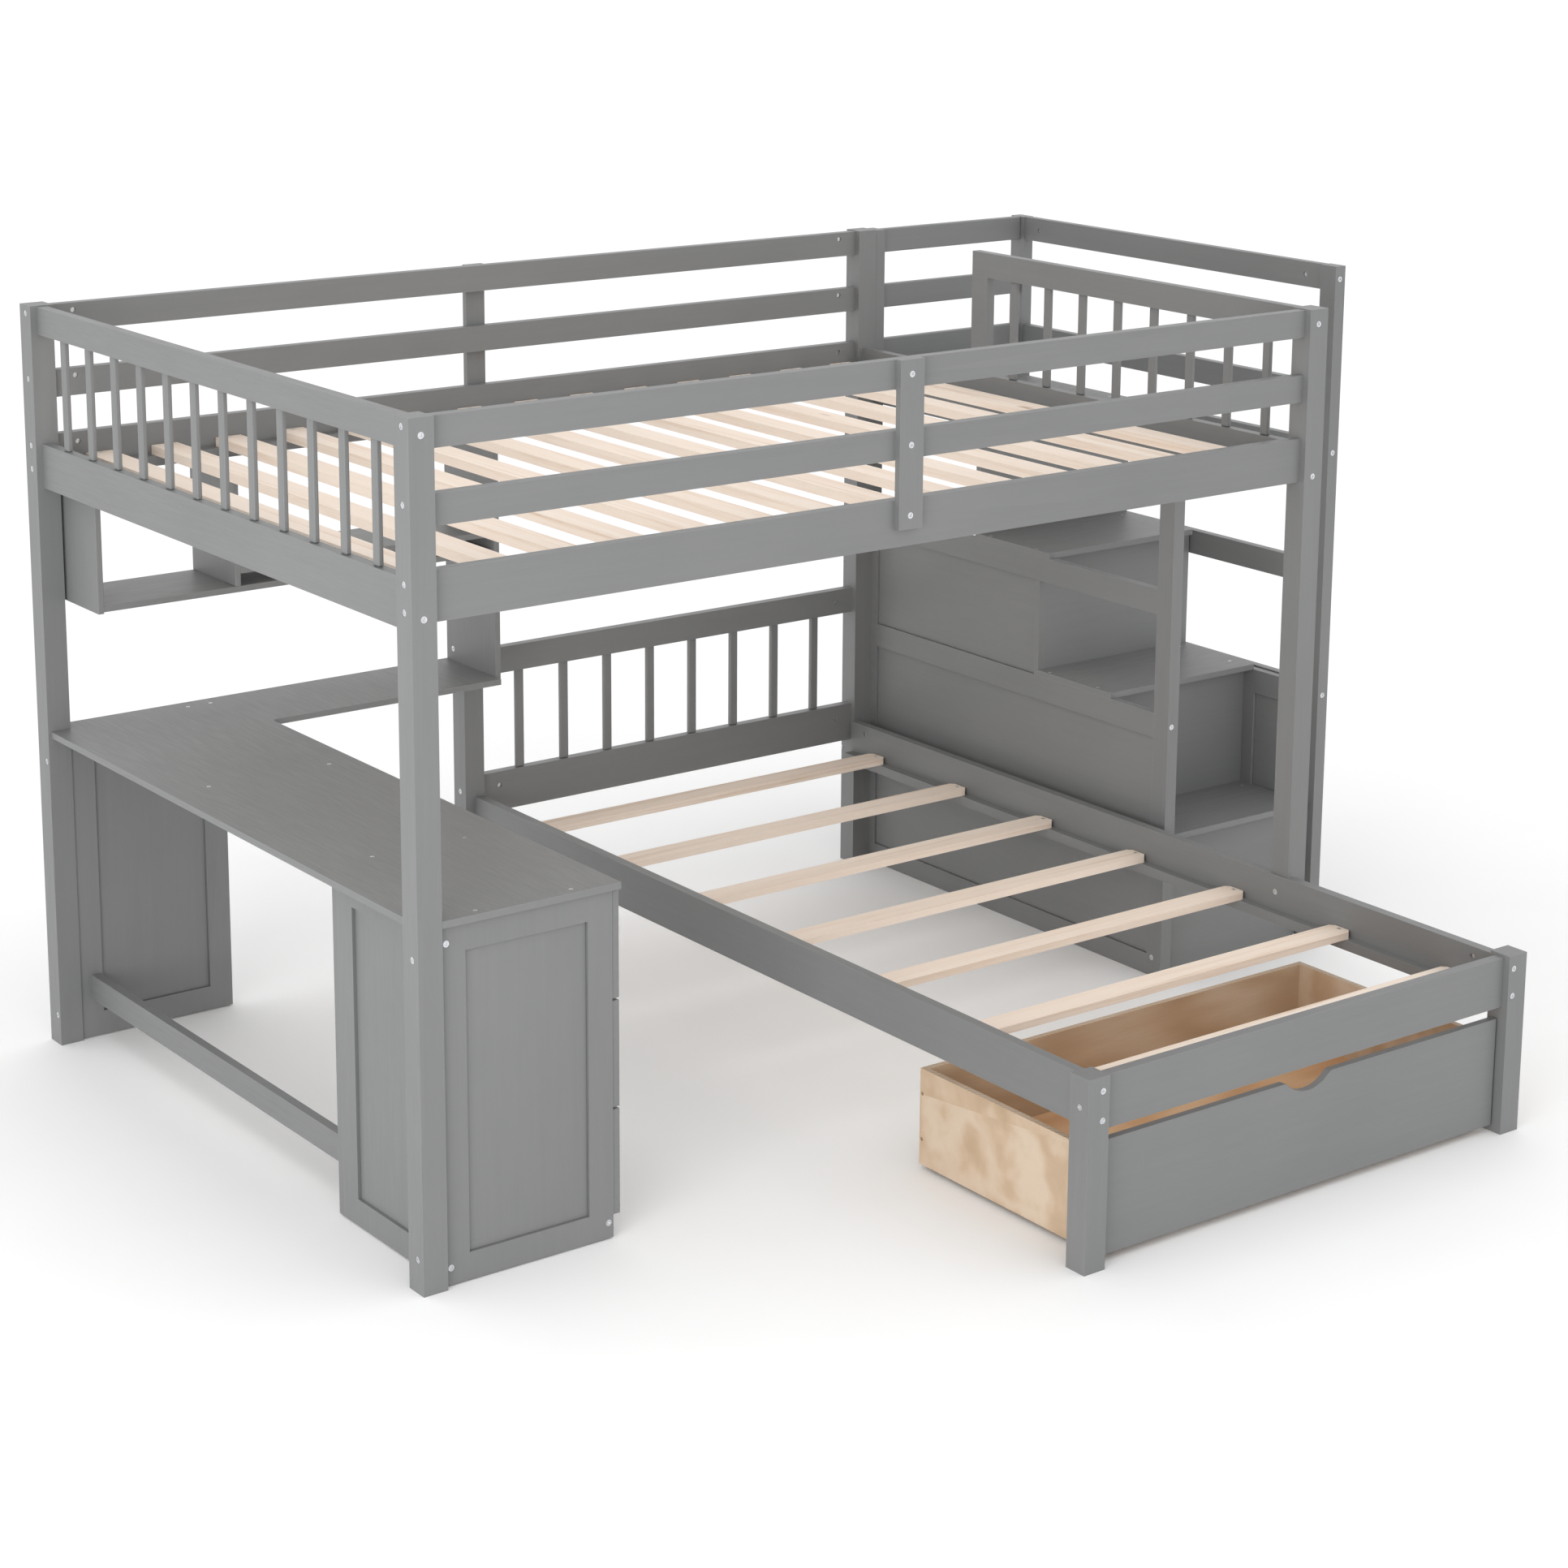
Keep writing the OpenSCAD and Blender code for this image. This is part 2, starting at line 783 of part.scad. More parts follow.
// the frame on the left side has its stiles and rails in the YZ plane
module pedestal_side_frame() {
    x = pedestal_x0 + 2;
    y0 = pedestal_y0 + pedestal_t;
    y1 = pedestal_y1 - pedestal_t;
    color(grey)
        placed()
            drilled(desk_bolts) {
                for (y = [y0, y1 - frame_w])
                    board([x, y, base_z], [x + pedestal_t, y + frame_w, frame_top]);
                for (z = [base_z, frame_top - frame_w])
                    board([x, y0 + frame_w, z], [x + pedestal_t, y1 - frame_w, z + frame_w]);
            }
}

module pedestal_panels() {
    x = pedestal_x0 + 8;
    y0 = pedestal_y0 + pedestal_t + frame_w;
    y1 = pedestal_y1 - pedestal_t - frame_w;
    color(grey)
        placed() {
            board([post + frame_w, pedestal_y0 + 6, base_z + frame_w],
                [pedestal_x1 - frame_w, pedestal_y0 + 6 + panel_t, frame_top - frame_w]);
            board([x, y0, base_z + frame_w], [x + panel_t, y1, frame_top - frame_w]);
        }
}

module pedestal_back() {
    color(grey)
        placed()
            drilled([], desk_screws)
                board([pedestal_x0 + 2, pedestal_y1 - pedestal_t, base_z],
                    [pedestal_x1, pedestal_y1, frame_top]);
}

module pedestal_base() {
    x0 = pedestal_x0 + 2 + pedestal_t;
    y0 = pedestal_y0 + pedestal_t;
    y1 = pedestal_y1 - pedestal_t;
    color(grey)
        placed()
            drilled(desk_bolts) {
                board([x0, y0, toe_z - 18], [pedestal_x1, y1, toe_z - 6]);
                board([pedestal_x1 - 30, y0, base_z], [pedestal_x1 - 18, y1, toe_z - 18]);
            }
}

function drawer_z(i) = toe_z + i * (drawer_h + drawer_gap);
function runner_z(i) = drawer_z(i) + drawer_box_lift + 20;

box_y0 = pedestal_y0 + pedestal_t + drawer_side_gap;
box_y1 = pedestal_y1 - pedestal_t - drawer_side_gap;

module drawer_runners() {
    color(zinc)
        placed()
            for (i = [0:drawers - 1], y = [pedestal_y0 + pedestal_t, pedestal_y1 - pedestal_t - runner_t])
                board([drawer_front_x - drawer_travel - 40, y, runner_z(i)],
                    [pedestal_x1 - 2, y + runner_t, runner_z(i) + runner_h]);
}

module drawer_front(i) {
    color(grey)
        placed()
            board([drawer_front_x, drawer_y0, drawer_z(i)],
                [drawer_front_x + drawer_front_t, drawer_y1, drawer_z(i) + drawer_h]);
}

module drawer_box(i) {
    z = drawer_z(i) + drawer_box_lift;
    x0 = drawer_front_x - drawer_box_d;
    color(ply)
        placed()
            difference() {
                board([x0, box_y0, z], [drawer_front_x, box_y1, z + drawer_box_h]);
                board([x0 + drawer_box_t, box_y0 + drawer_box_t, z + box_bottom_t],
                    [drawer_front_x - drawer_box_t, box_y1 - drawer_box_t, z + drawer_box_h + 1]);
            }
}

// Hutch under the loft

module hutch_left_panel() {
    color(grey)
        placed()
            board([hutch_left_x, hutch_y, hutch_z],
                [hutch_left_x + hutch_t, hutch_back, hutch_top]);
}

module hutch_divider() {
    color(grey)
        placed()
            board([hutch_divider_x, hutch_y, shelf_z + hutch_t],
                [hutch_divider_x + hutch_t, hutch_back, hutch_top]);
}

// the low shelf runs from end to end, and the high one stands just over it, right of the divider
module hutch_shelves() {
    color(grey)
        placed() {
            board([hutch_left_x + hutch_t, hutch_y, shelf_z],
                [desk_end - hutch_t, hutch_back, shelf_z + hutch_t]);
            board([hutch_divider_x + hutch_t, hutch_y, high_shelf_z],
                [desk_end - hutch_t, hutch_back, high_shelf_z + hutch_t]);
        }
}

// it covers the end of the desktop and is bolted to the lower bed's head post
module hutch_right_panel() {
    color(grey)
        placed()
            drilled(bed_bolts)
                board([desk_end - hutch_t, hutch_right_y, frame_top], [desk_end, hutch_back, hutch_top]);
}

// Stairs

module stair_post(x, y, z1) {
    board([x, y, 0], [x + stair_post_w, y + stair_post_d, z1]);
}

module stair_inner_posts() {
    color(grey)
        placed()
            drilled(stair_bolts) {
                stair_post(stair_x0, stair_y, end_rail_z);
                stair_post(stair_x0, stair_back, guard_top);
            }
}

module stair_outer_posts() {
    color(grey)
        placed()
            drilled(stair_bolts)
                for (y = [stair_y, stair_back])
                    stair_post(stair_outer_x, y, guard_top);
}

module stair_outer_rails() {
    color(grey)
        placed()
            drilled(stair_bolts)
                for (z = outer_rails)
                    board([outer_rail_x, stair_rail_y, z],
                        [outer_rail_x + outer_t, stair_back, z + guard_h]);
}

module stair_back_rails() {
    y = stair_back;
    color(grey)
        placed()
            for (top = [guard_top, mid_guard_top, side_top])
                board([stair_x0 + stair_post_w, y + 10, top - guard_h],
                    [stair_outer_x, y + 10 + outer_t, top]);
}

// a rail along the stairs, from its top edge down
module stair_rail(x, top, h) {
    board([x, stair_rail_y, top - h], [x + stair_frame_t, stair_back, top]);
}

// a stile of a stair frame, between two heights
module stair_stile(x, y, w, z0, z1) {
    board([x, y, z0], [x + stair_frame_t, y + w, z1]);
}

// the frame beside the lower bed carries the treads on its two upper rails
module stair_inner_frame() {
    x = stair_x0;
    tops = side_rail_tops;
    color(grey)
        placed()
            drilled(stair_bolts, tread_screws) {
                stair_rail(x, tops[0], low_rail_h);
                stair_rail(x, tops[1], side_rail_h);
                stair_rail(x, tops[2], side_rail_h);
                for (i = [0:1])
                    stair_stile(x, stair_back - back_stile, back_stile, tops[i], tops[i + 1] - side_rail_h);
                stair_stile(x, riser_y(2), riser_t, tops[1], tops[2] - side_rail_h);
                stair_stile(x, riser_y(3), riser_t, tops[2], treads_top[3] - tread_t);
            }
}

// the frame on the far side closes the lower part of the stairs
module stair_outer_frame() {
    x = stair_frame_x;
    tops = side_rail_tops;
    color(grey)
        placed() {
            for (y = [stair_rail_y, stair_back - back_stile])
                stair_stile(x, y, back_stile, tops[0], tops[1] - side_rail_h);
            stair_rail(x, tops[0], low_rail_h);
            stair_rail(x, tops[1], side_rail_h);
            stair_stile(x, middle_stile_y, frame_w, tops[0], tops[1] - side_rail_h);
            // the upper part begins at the third riser, and its top stiles carry the landing
            board([x, riser_y(2), tops[2] - side_rail_h], [x + stair_frame_t, stair_back, tops[2]]);
            for (y = [riser_y(2), stair_back - back_stile])
                stair_stile(x, y, back_stile, tops[1], tops[2] - side_rail_h);
            for (y = [riser_y(3), stair_back - back_stile])
                stair_stile(x, y, back_stile, tops[2], treads_top[3] - tread_t);
        }
}

module stair_panels() {
    back = stair_back - back_stile;
    low = side_rail_tops[0];
    middle = side_rail_tops[1];
    upper = side_rail_tops[2];
    inner_x = stair_x0 + panel_in;
    outer_x = stair_frame_x + panel_in;
    color(grey)
        placed() {
            board([inner_x, stair_rail_y, low], [inner_x + panel_t, back, middle - side_rail_h]);
            board([inner_x, riser_y(2) + riser_t, middle], [inner_x + panel_t, back, upper - side_rail_h]);
            board([outer_x, stair_rail_y + back_stile, low],
                [outer_x + panel_t, middle_stile_y, middle - side_rail_h]);
            board([outer_x, middle_stile_y + frame_w, low],
                [outer_x + panel_t, back, middle - side_rail_h]);
            board([outer_x, riser_y(2) + back_stile, middle],
                [outer_x + panel_t, back, upper - side_rail_h]);
        }
}

module stair_treads() {
    color(grey)
        placed()
            drilled([], tread_screws)
                difference() {
                    for (i = [0:treads - 1])
                        board([tread_x(i), treads_y[i], treads_top[i] - tread_t],
                            [stair_frame_x, tread_end(i), treads_top[i]]);
                    // the first tread is notched around the inner front post
                    board([stair_x0 - 1, stair_y - 1, 0],
                        [stair_x0 + stair_post_w + 0.5, stair_rail_y + 0.5, treads_top[0] + 1]);
                }
}

module stair_risers() {
    color(grey)
        placed()
            for (i = [0:treads - 1])
                board([stair_x0 + (i == 0 ? stair_post_w : stair_frame_t), riser_y(i),
                        i == 0 ? base_z : treads_top[i - 1] - tread_t - cleat_h],
                    [stair_frame_x, riser_y(i) + riser_t, treads_top[i] - tread_t]);
}

// cleats under both ends of the treads, from each riser to the next
module stair_cleats() {
    color(grey)
        placed()
            drilled([], tread_screws)
                for (i = [0:treads - 1], x = [stair_x0 + stair_frame_t, stair_frame_x - cleat_w])
                    board([x, max(riser_y(i) + riser_t, stair_rail_y), treads_top[i] - tread_t - cleat_h],
                        [x + cleat_w, tread_end(i), treads_top[i] - tread_t]);
}

// Fasteners

module bolts() {
    color(zinc)
        placed()
            for (b = all_bolts)
                bolt(b);
}

module barrel_nuts() {
    color(zinc)
        placed()
            for (b = all_bolts)
                if (norm(b[3]) > 0)
                    barrel_nut(b);
}

module screws() {
    color(zinc)
        placed()
            for (s = all_screws)
                screw(s);
}

corner_posts();
front_right_post();
front_rails();
back_rails();
guard_battens();
left_end_rails();
left_end_spindles();
entry_end_rails();
entry_end_spindles();
loft_ledgers();
loft_slats();
bed_posts();
bed_side_rails();
bed_foot_rail();
headboard_rails();
headboard_spindles();
bed_ledgers();
bed_slats();
bed_drawer_front();
bed_drawer_box();
bed_drawer_bottom();
caster_brackets();
caster_wheel(wheel_places[0]);  // caster_wheel_front_left
caster_wheel(wheel_places[1]);  // caster_wheel_front_right
caster_wheel(wheel_places[2]);  // caster_wheel_back_left
caster_wheel(wheel_places[3]);  // caster_wheel_back_right
desktop();
desk_rails();
support_frame();
support_panel();
pedestal_front_frame();
pedestal_side_frame();
pedestal_panels();
pedestal_back();
pedestal_base();
drawer_runners();
drawer_front(2);  // top_drawer_front
drawer_box(2);  // top_drawer_box
drawer_front(1);  // middle_drawer_front
drawer_box(1);  // middle_drawer_box
drawer_front(0);  // bottom_drawer_front
drawer_box(0);  // bottom_drawer_box
hutch_left_panel();
hutch_divider();
hutch_shelves();
hutch_right_panel();
stair_inner_posts();
stair_outer_posts();
stair_outer_rails();
stair_back_rails();
stair_inner_frame();
stair_outer_frame();
stair_panels();
stair_treads();
stair_risers();
stair_cleats();
bolts();
barrel_nuts();
screws();
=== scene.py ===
"""Loft bed with desk: the looks, the light and the camera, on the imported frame."""

import math

import bpy
from mathutils import Matrix, Vector

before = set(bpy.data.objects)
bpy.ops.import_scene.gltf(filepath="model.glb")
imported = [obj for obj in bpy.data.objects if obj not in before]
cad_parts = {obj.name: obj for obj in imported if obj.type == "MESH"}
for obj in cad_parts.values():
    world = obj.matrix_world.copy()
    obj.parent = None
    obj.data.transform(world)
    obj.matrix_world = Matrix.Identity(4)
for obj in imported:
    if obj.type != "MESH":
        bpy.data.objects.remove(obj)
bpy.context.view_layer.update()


# Camera: it looks down on the object, and a lens shift keeps upright edges close to parallel.
# The shift is no larger than leaves the whole object inside the views from other sides.

CAMERA_SPOT = Vector((-3.7777, -4.8118, 2.4008))
CAMERA_AZIMUTH = math.radians(-36.928)
CAMERA_ELEVATION = math.radians(12.532)
CAMERA_ROLL = math.radians(0.416)
SENSOR_MM = 36.0
LENS_MM = 76.58
SHIFT_X = -0.0079
SHIFT_Y = -0.16
CAMERA_REACH = 100.0


def camera_matrix():
    """The camera's place and axes, from its azimuth, elevation and roll."""
    azimuth, elevation = CAMERA_AZIMUTH, CAMERA_ELEVATION
    back = Vector((
        math.sin(azimuth) * math.cos(elevation),
        -math.cos(azimuth) * math.cos(elevation),
        math.sin(elevation),
    ))
    level_right = Vector((math.cos(azimuth), math.sin(azimuth), 0.0))
    level_up = back.cross(level_right)
    right = math.cos(CAMERA_ROLL) * level_right + math.sin(CAMERA_ROLL) * level_up
    up = math.cos(CAMERA_ROLL) * level_up - math.sin(CAMERA_ROLL) * level_right
    matrix = Matrix((right, up, back)).transposed().to_4x4()
    matrix.translation = CAMERA_SPOT
    return matrix


def make_camera():
    data = bpy.data.cameras.new("camera")
    data.sensor_width = SENSOR_MM
    data.lens = LENS_MM
    data.shift_x = SHIFT_X
    data.shift_y = SHIFT_Y
    data.clip_end = CAMERA_REACH
    camera = bpy.data.objects.new("camera", data)
    camera.matrix_world = camera_matrix()
    bpy.context.scene.collection.objects.link(camera)
    bpy.context.scene.camera = camera


# Materials

PAINT_DARK = (0.172, 0.175, 0.175)
PAINT_MID = (0.182, 0.185, 0.185)
PAINT_LIGHT = (0.192, 0.195, 0.194)
# Paler grey for the edges: partly worn paint, partly a painted highlight along the edges.
PAINT_EDGE_WEAR_AND_HIGHLIGHT = (0.245, 0.248, 0.246)
PINE_PALE = (0.885, 0.770, 0.665)
PINE_MID = (0.810, 0.660, 0.540)
PINE_LINE = (0.660, 0.490, 0.360)
PINE_KNOT = (0.34, 0.20, 0.11)
PLY_PALE = (0.64, 0.52, 0.40)
PLY_MID = (0.57, 0.43, 0.30)
PLY_DARK = (0.46, 0.32, 0.20)
PLY_GLUE = (0.24, 0.15, 0.09)
# More orange plywood tones for the drawer bottom: painted warm bounce light inside the drawer.
PLY_BOUNCE_PALE = (0.70, 0.47, 0.28)
PLY_BOUNCE_MID = (0.64, 0.39, 0.21)
PLY_BOUNCE_DARK = (0.54, 0.30, 0.15)
ZINC = (0.74, 0.75, 0.77)
ZINC_DULL = (0.55, 0.56, 0.58)
WHEEL = (0.035, 0.035, 0.037)
WHEEL_SCUFF = (0.10, 0.10, 0.10)
FLOOR = (0.95, 0.95, 0.95)
FLOOR_MOTTLE = (0.93, 0.93, 0.93)
FLOOR_ROUGHNESS = 0.9

# How often a texture repeats in a metre, along the grain and across it

PAINT_GRAIN = (3.0, 90.0)
PAINT_BRUSH = (14.0, 420.0)
PINE_WANDER = (0.9, 6.0)
PINE_LINES = (1.6, 55.0)
PINE_FIBRE = (18.0, 700.0)
PINE_KNOTS = (2.2, 5.0)
PLY_SWELL = (1.7, 7.0)
PLY_RINGS = (1.2, 9.0)
PLY_FIBRE = (20.0, 600.0)
ZINC_MARKS = (900.0, 2600.0)

AXES = {"x": 0, "y": 1, "z": 2}
ISLAND_SPREAD = 7.3
ISLAND_DIRECTION = (1.0, 0.7, 0.4)
EDGE_SAMPLES = 4


class Graph:
    """A material and its nodes, with short calls for what several materials share."""

    def __init__(self, name):
        self.material = bpy.data.materials.new(name)
        self.material.use_nodes = True
        self.nodes = self.material.node_tree.nodes
        self.links = self.material.node_tree.links
        self.shader = self.nodes["Principled BSDF"]

    def add(self, kind, **settings):
        node = self.nodes.new(kind)
        for name, value in settings.items():
            setattr(node, name, value)
        return node

    def feed(self, value, socket):
        """Links an output, or sets a plain value."""
        if isinstance(value, bpy.types.NodeSocket):
            self.links.new(value, socket)
        else:
            socket.default_value = value

    def multiply(self, first, second):
        return self.calculate("MULTIPLY", first, second)

    def calculate(self, operation, first, second):
        node = self.add("ShaderNodeMath", operation=operation, use_clamp=True)
        self.feed(first, node.inputs[0])
        self.feed(second, node.inputs[1])
        return node.outputs[0]

    def blend(self, first, second, share):
        """Two values added, the first with its share and the second with the rest."""
        return self.calculate("ADD", self.multiply(first, share), self.multiply(second, 1.0 - share))

    def island(self):
        """A number that differs from one separate board to the next."""
        return self.add("ShaderNodeNewGeometry").outputs["Random Per Island"]

    def place(self):
        """Positions on the piece, moved by a different amount on each board."""
        coordinates = self.add("ShaderNodeTexCoord").outputs["Object"]
        spread = self.add("ShaderNodeVectorMath", operation="SCALE")
        spread.inputs[0].default_value = ISLAND_DIRECTION
        amount = self.add("ShaderNodeMath", operation="MULTIPLY")
        self.feed(self.island(), amount.inputs[0])
        amount.inputs[1].default_value = ISLAND_SPREAD
        self.feed(amount.outputs[0], spread.inputs["Scale"])
        moved = self.add("ShaderNodeVectorMath", operation="ADD")
        self.feed(coordinates, moved.inputs[0])
        self.feed(spread.outputs[0], moved.inputs[1])
        return moved.outputs[0]

    def stretched(self, place, axis, repeats):
        """Positions scaled so that a texture is drawn out along the grain."""
        along, across = repeats
        scale = [across, across, across]
        scale[AXES[axis]] = along
        node = self.add("ShaderNodeVectorMath", operation="MULTIPLY")
        self.feed(place, node.inputs[0])
        node.inputs[1].default_value = scale
        return node.outputs[0]

    def noise(self, place, scale=1.0, detail=4.0, roughness=0.55, distortion=0.0):
        node = self.add("ShaderNodeTexNoise")
        self.feed(place, node.inputs["Vector"])
        node.inputs["Scale"].default_value = scale
        node.inputs["Detail"].default_value = detail
        node.inputs["Roughness"].default_value = roughness
        node.inputs["Distortion"].default_value = distortion
        return node.outputs["Fac"]

    def ramp(self, factor, stops):
        """A colour ramp from a list of (place, colour)."""
        node = self.add("ShaderNodeValToRGB")
        elements = node.color_ramp.elements
        while len(elements) < len(stops):
            elements.new(0.5)
        for element, (position, color) in zip(elements, stops):
            element.position = position
            element.color = (*color, 1.0)
        self.feed(factor, node.inputs["Fac"])
        return node.outputs["Color"]

    def remap(self, value, source, target):
        """Takes one range of values to another, and holds it at the ends."""
        node = self.add("ShaderNodeMapRange", clamp=True)
        self.feed(value, node.inputs["Value"])
        node.inputs["From Min"].default_value, node.inputs["From Max"].default_value = source
        node.inputs["To Min"].default_value, node.inputs["To Max"].default_value = target
        return node.outputs["Result"]

    def mix(self, factor, first, second):
        """Goes from one colour to another."""
        node = self.add("ShaderNodeMix", data_type="RGBA")
        sockets = [socket for socket in node.inputs if socket.enabled]
        self.feed(factor, sockets[0])
        for color, socket in zip((first, second), sockets[1:]):
            self.feed(color if isinstance(color, bpy.types.NodeSocket) else (*color, 1.0), socket)
        return next(socket for socket in node.outputs if socket.enabled)

    def edge(self, radius):
        """1 along sharp edges and 0 on flat faces."""
        bevel = self.add("ShaderNodeBevel", samples=EDGE_SAMPLES)
        bevel.inputs["Radius"].default_value = radius
        geometry = self.add("ShaderNodeNewGeometry")
        dot = self.add("ShaderNodeVectorMath", operation="DOT_PRODUCT")
        self.feed(bevel.outputs["Normal"], dot.inputs[0])
        self.feed(geometry.outputs["Normal"], dot.inputs[1])
        return self.remap(dot.outputs["Value"], (0.99, 0.80), (0.0, 1.0))

    def bump(self, height, strength, depth):
        node = self.add("ShaderNodeBump")
        node.inputs["Strength"].default_value = strength
        node.inputs["Distance"].default_value = depth
        self.feed(height, node.inputs["Height"])
        return node.outputs["Normal"]

    def finish(self, color, roughness, normal, metallic=0.0):
        self.feed(color, self.shader.inputs["Base Color"])
        self.feed(roughness, self.shader.inputs["Roughness"])
        self.feed(normal, self.shader.inputs["Normal"])
        self.shader.inputs["Metallic"].default_value = metallic
        return self.material


def painted_wood(axis):
    """Satin grey paint, thin enough for the grain to show faintly through it."""
    graph = Graph("grey_paint_" + axis)
    place = graph.place()
    grain = graph.noise(graph.stretched(place, axis, PAINT_GRAIN), detail=6.0, roughness=0.62)
    mottle = graph.noise(place, scale=3.2, detail=3.0)
    brush = graph.noise(graph.stretched(place, axis, PAINT_BRUSH), detail=2.0)
    tone = graph.blend(grain, mottle, share=0.45)
    color = graph.ramp(tone, [(0.30, PAINT_DARK), (0.50, PAINT_MID), (0.70, PAINT_LIGHT)])
    # Sharp edges are lightened in patches: partly rubbed paint, partly a painted highlight where the
    # rounded edges meet the light.
    edge_wear_and_highlight = graph.multiply(graph.edge(radius=0.0022), graph.remap(mottle, (0.35, 0.65), (0.35, 0.80)))
    color = graph.mix(edge_wear_and_highlight, color, PAINT_EDGE_WEAR_AND_HIGHLIGHT)
    roughness = graph.remap(brush, (0.3, 0.7), (0.40, 0.54))
    height = graph.blend(grain, brush, share=0.7)
    return graph.finish(color, roughness, graph.bump(height, strength=0.16, depth=0.0006))


def pine(axis):
    """Planed pine: pale wood, darker growth lines along the board and a few knots."""
    graph = Graph("pine_" + axis)
    place = graph.place()
    wander = graph.noise(graph.stretched(place, axis, PINE_WANDER), detail=3.0)
    lines = graph.noise(
        graph.stretched(place, axis, PINE_LINES), detail=5.0, roughness=0.65, distortion=0.4)
    fibre = graph.noise(graph.stretched(place, axis, PINE_FIBRE), detail=3.0)
    growth = [(0.30, PINE_PALE), (0.52, PINE_PALE), (0.62, PINE_MID), (0.74, PINE_LINE)]
    color = graph.ramp(lines, growth)
    color = graph.mix(graph.remap(wander, (0.40, 0.70), (0.0, 0.45)), color, PINE_MID)
    cells = graph.add("ShaderNodeTexVoronoi", feature="F1")
    graph.feed(graph.stretched(place, axis, PINE_KNOTS), cells.inputs["Vector"])
    cells.inputs["Scale"].default_value = 1.0
    knot = graph.remap(cells.outputs["Distance"], (0.075, 0.035), (0.0, 0.75))
    color = graph.mix(knot, color, PINE_KNOT)
    board = graph.remap(graph.island(), (0.0, 1.0), (0.0, 0.22))
    color = graph.mix(board, color, PINE_MID)
    color = graph.mix(graph.remap(fibre, (0.4, 0.75), (0.0, 0.16)), color, PINE_LINE)
    roughness = graph.remap(fibre, (0.3, 0.7), (0.52, 0.68))
    height = graph.blend(fibre, lines, share=0.6)
    return graph.finish(color, roughness, graph.bump(height, strength=0.22, depth=0.0005))


def veneer(graph, axis, pale, mid, dark):
    """Rotary-cut veneer with flame figure: its colour and its fibres."""
    place = graph.place()
    swell = graph.noise(
        graph.stretched(place, axis, PLY_SWELL), detail=4.0, roughness=0.5, distortion=0.8)
    rings = graph.add("ShaderNodeTexWave", wave_type="BANDS", wave_profile="SIN")
    graph.feed(graph.stretched(place, axis, PLY_RINGS), rings.inputs["Vector"])
    rings.inputs["Scale"].default_value = 1.1
    rings.inputs["Distortion"].default_value = 9.0
    rings.inputs["Detail"].default_value = 3.0
    rings.inputs["Detail Scale"].default_value = 0.8
    fibre = graph.noise(graph.stretched(place, axis, PLY_FIBRE), detail=3.0)
    figure = graph.blend(swell, rings.outputs["Fac"], share=0.65)
    color = graph.ramp(figure, [(0.25, pale), (0.50, mid), (0.80, dark)])
    return graph.mix(graph.remap(fibre, (0.4, 0.75), (0.0, 0.25)), color, dark), fibre


def plywood(axis):
    """Pale plywood walls, with the layers of the core on their upward edges."""
    graph = Graph("plywood_" + axis)
    color, fibre = veneer(graph, axis, PLY_PALE, PLY_MID, PLY_DARK)
    layers = graph.add("ShaderNodeTexWave", wave_type="BANDS", bands_direction="DIAGONAL")
    graph.feed(graph.add("ShaderNodeTexCoord").outputs["Object"], layers.inputs["Vector"])
    layers.inputs["Scale"].default_value = 60.0
    normal = graph.add("ShaderNodeSeparateXYZ")
    graph.feed(graph.add("ShaderNodeNewGeometry").outputs["Normal"], normal.inputs[0])
    upward = graph.remap(normal.outputs["Z"], (0.90, 0.99), (0.0, 0.55))
    glue = graph.remap(layers.outputs["Fac"], (0.45, 0.60), (0.0, 0.8))
    color = graph.mix(upward, color, graph.mix(glue, PLY_PALE, PLY_GLUE))
    roughness = graph.remap(fibre, (0.3, 0.7), (0.45, 0.62))
    return graph.finish(color, roughness, graph.bump(fibre, strength=0.18, depth=0.0004))


def bounce_tinted_plywood(axis):
    """Plywood for the flat bottom of the under-bed drawer, more orange than the other plywood:
    painted warm bounce light inside the drawer.
    """
    graph = Graph("bounce_tinted_plywood_" + axis)
    # The veneer gets more orange tones here as painted bounce light inside the drawer.
    color, fibre = veneer(graph, axis, PLY_BOUNCE_PALE, PLY_BOUNCE_MID, PLY_BOUNCE_DARK)
    roughness = graph.remap(fibre, (0.3, 0.7), (0.48, 0.64))
    return graph.finish(color, roughness, graph.bump(fibre, strength=0.18, depth=0.0004))


def zinc_plate():
    """Bright zinc with duller patches and fine turning marks."""
    graph = Graph("zinc_plate")
    place = graph.place()
    patches = graph.noise(place, scale=120.0, detail=4.0)
    marks = graph.noise(graph.stretched(place, "z", ZINC_MARKS), detail=2.0)
    color = graph.ramp(patches, [(0.35, ZINC_DULL), (0.65, ZINC)])
    roughness = graph.remap(patches, (0.3, 0.7), (0.42, 0.24))
    normal = graph.bump(marks, strength=0.10, depth=0.0001)
    return graph.finish(color, roughness, normal, metallic=1.0)


def wheel_rubber():
    """Matt black rubber with dusty scuffs."""
    graph = Graph("wheel_rubber")
    place = graph.place()
    scuff = graph.noise(place, scale=160.0, detail=5.0, roughness=0.7)
    grit = graph.noise(place, scale=1500.0, detail=2.0)
    color = graph.ramp(scuff, [(0.50, WHEEL), (0.75, WHEEL_SCUFF)])
    roughness = graph.remap(scuff, (0.4, 0.7), (0.60, 0.82))
    return graph.finish(color, roughness, graph.bump(grit, strength=0.25, depth=0.0002))


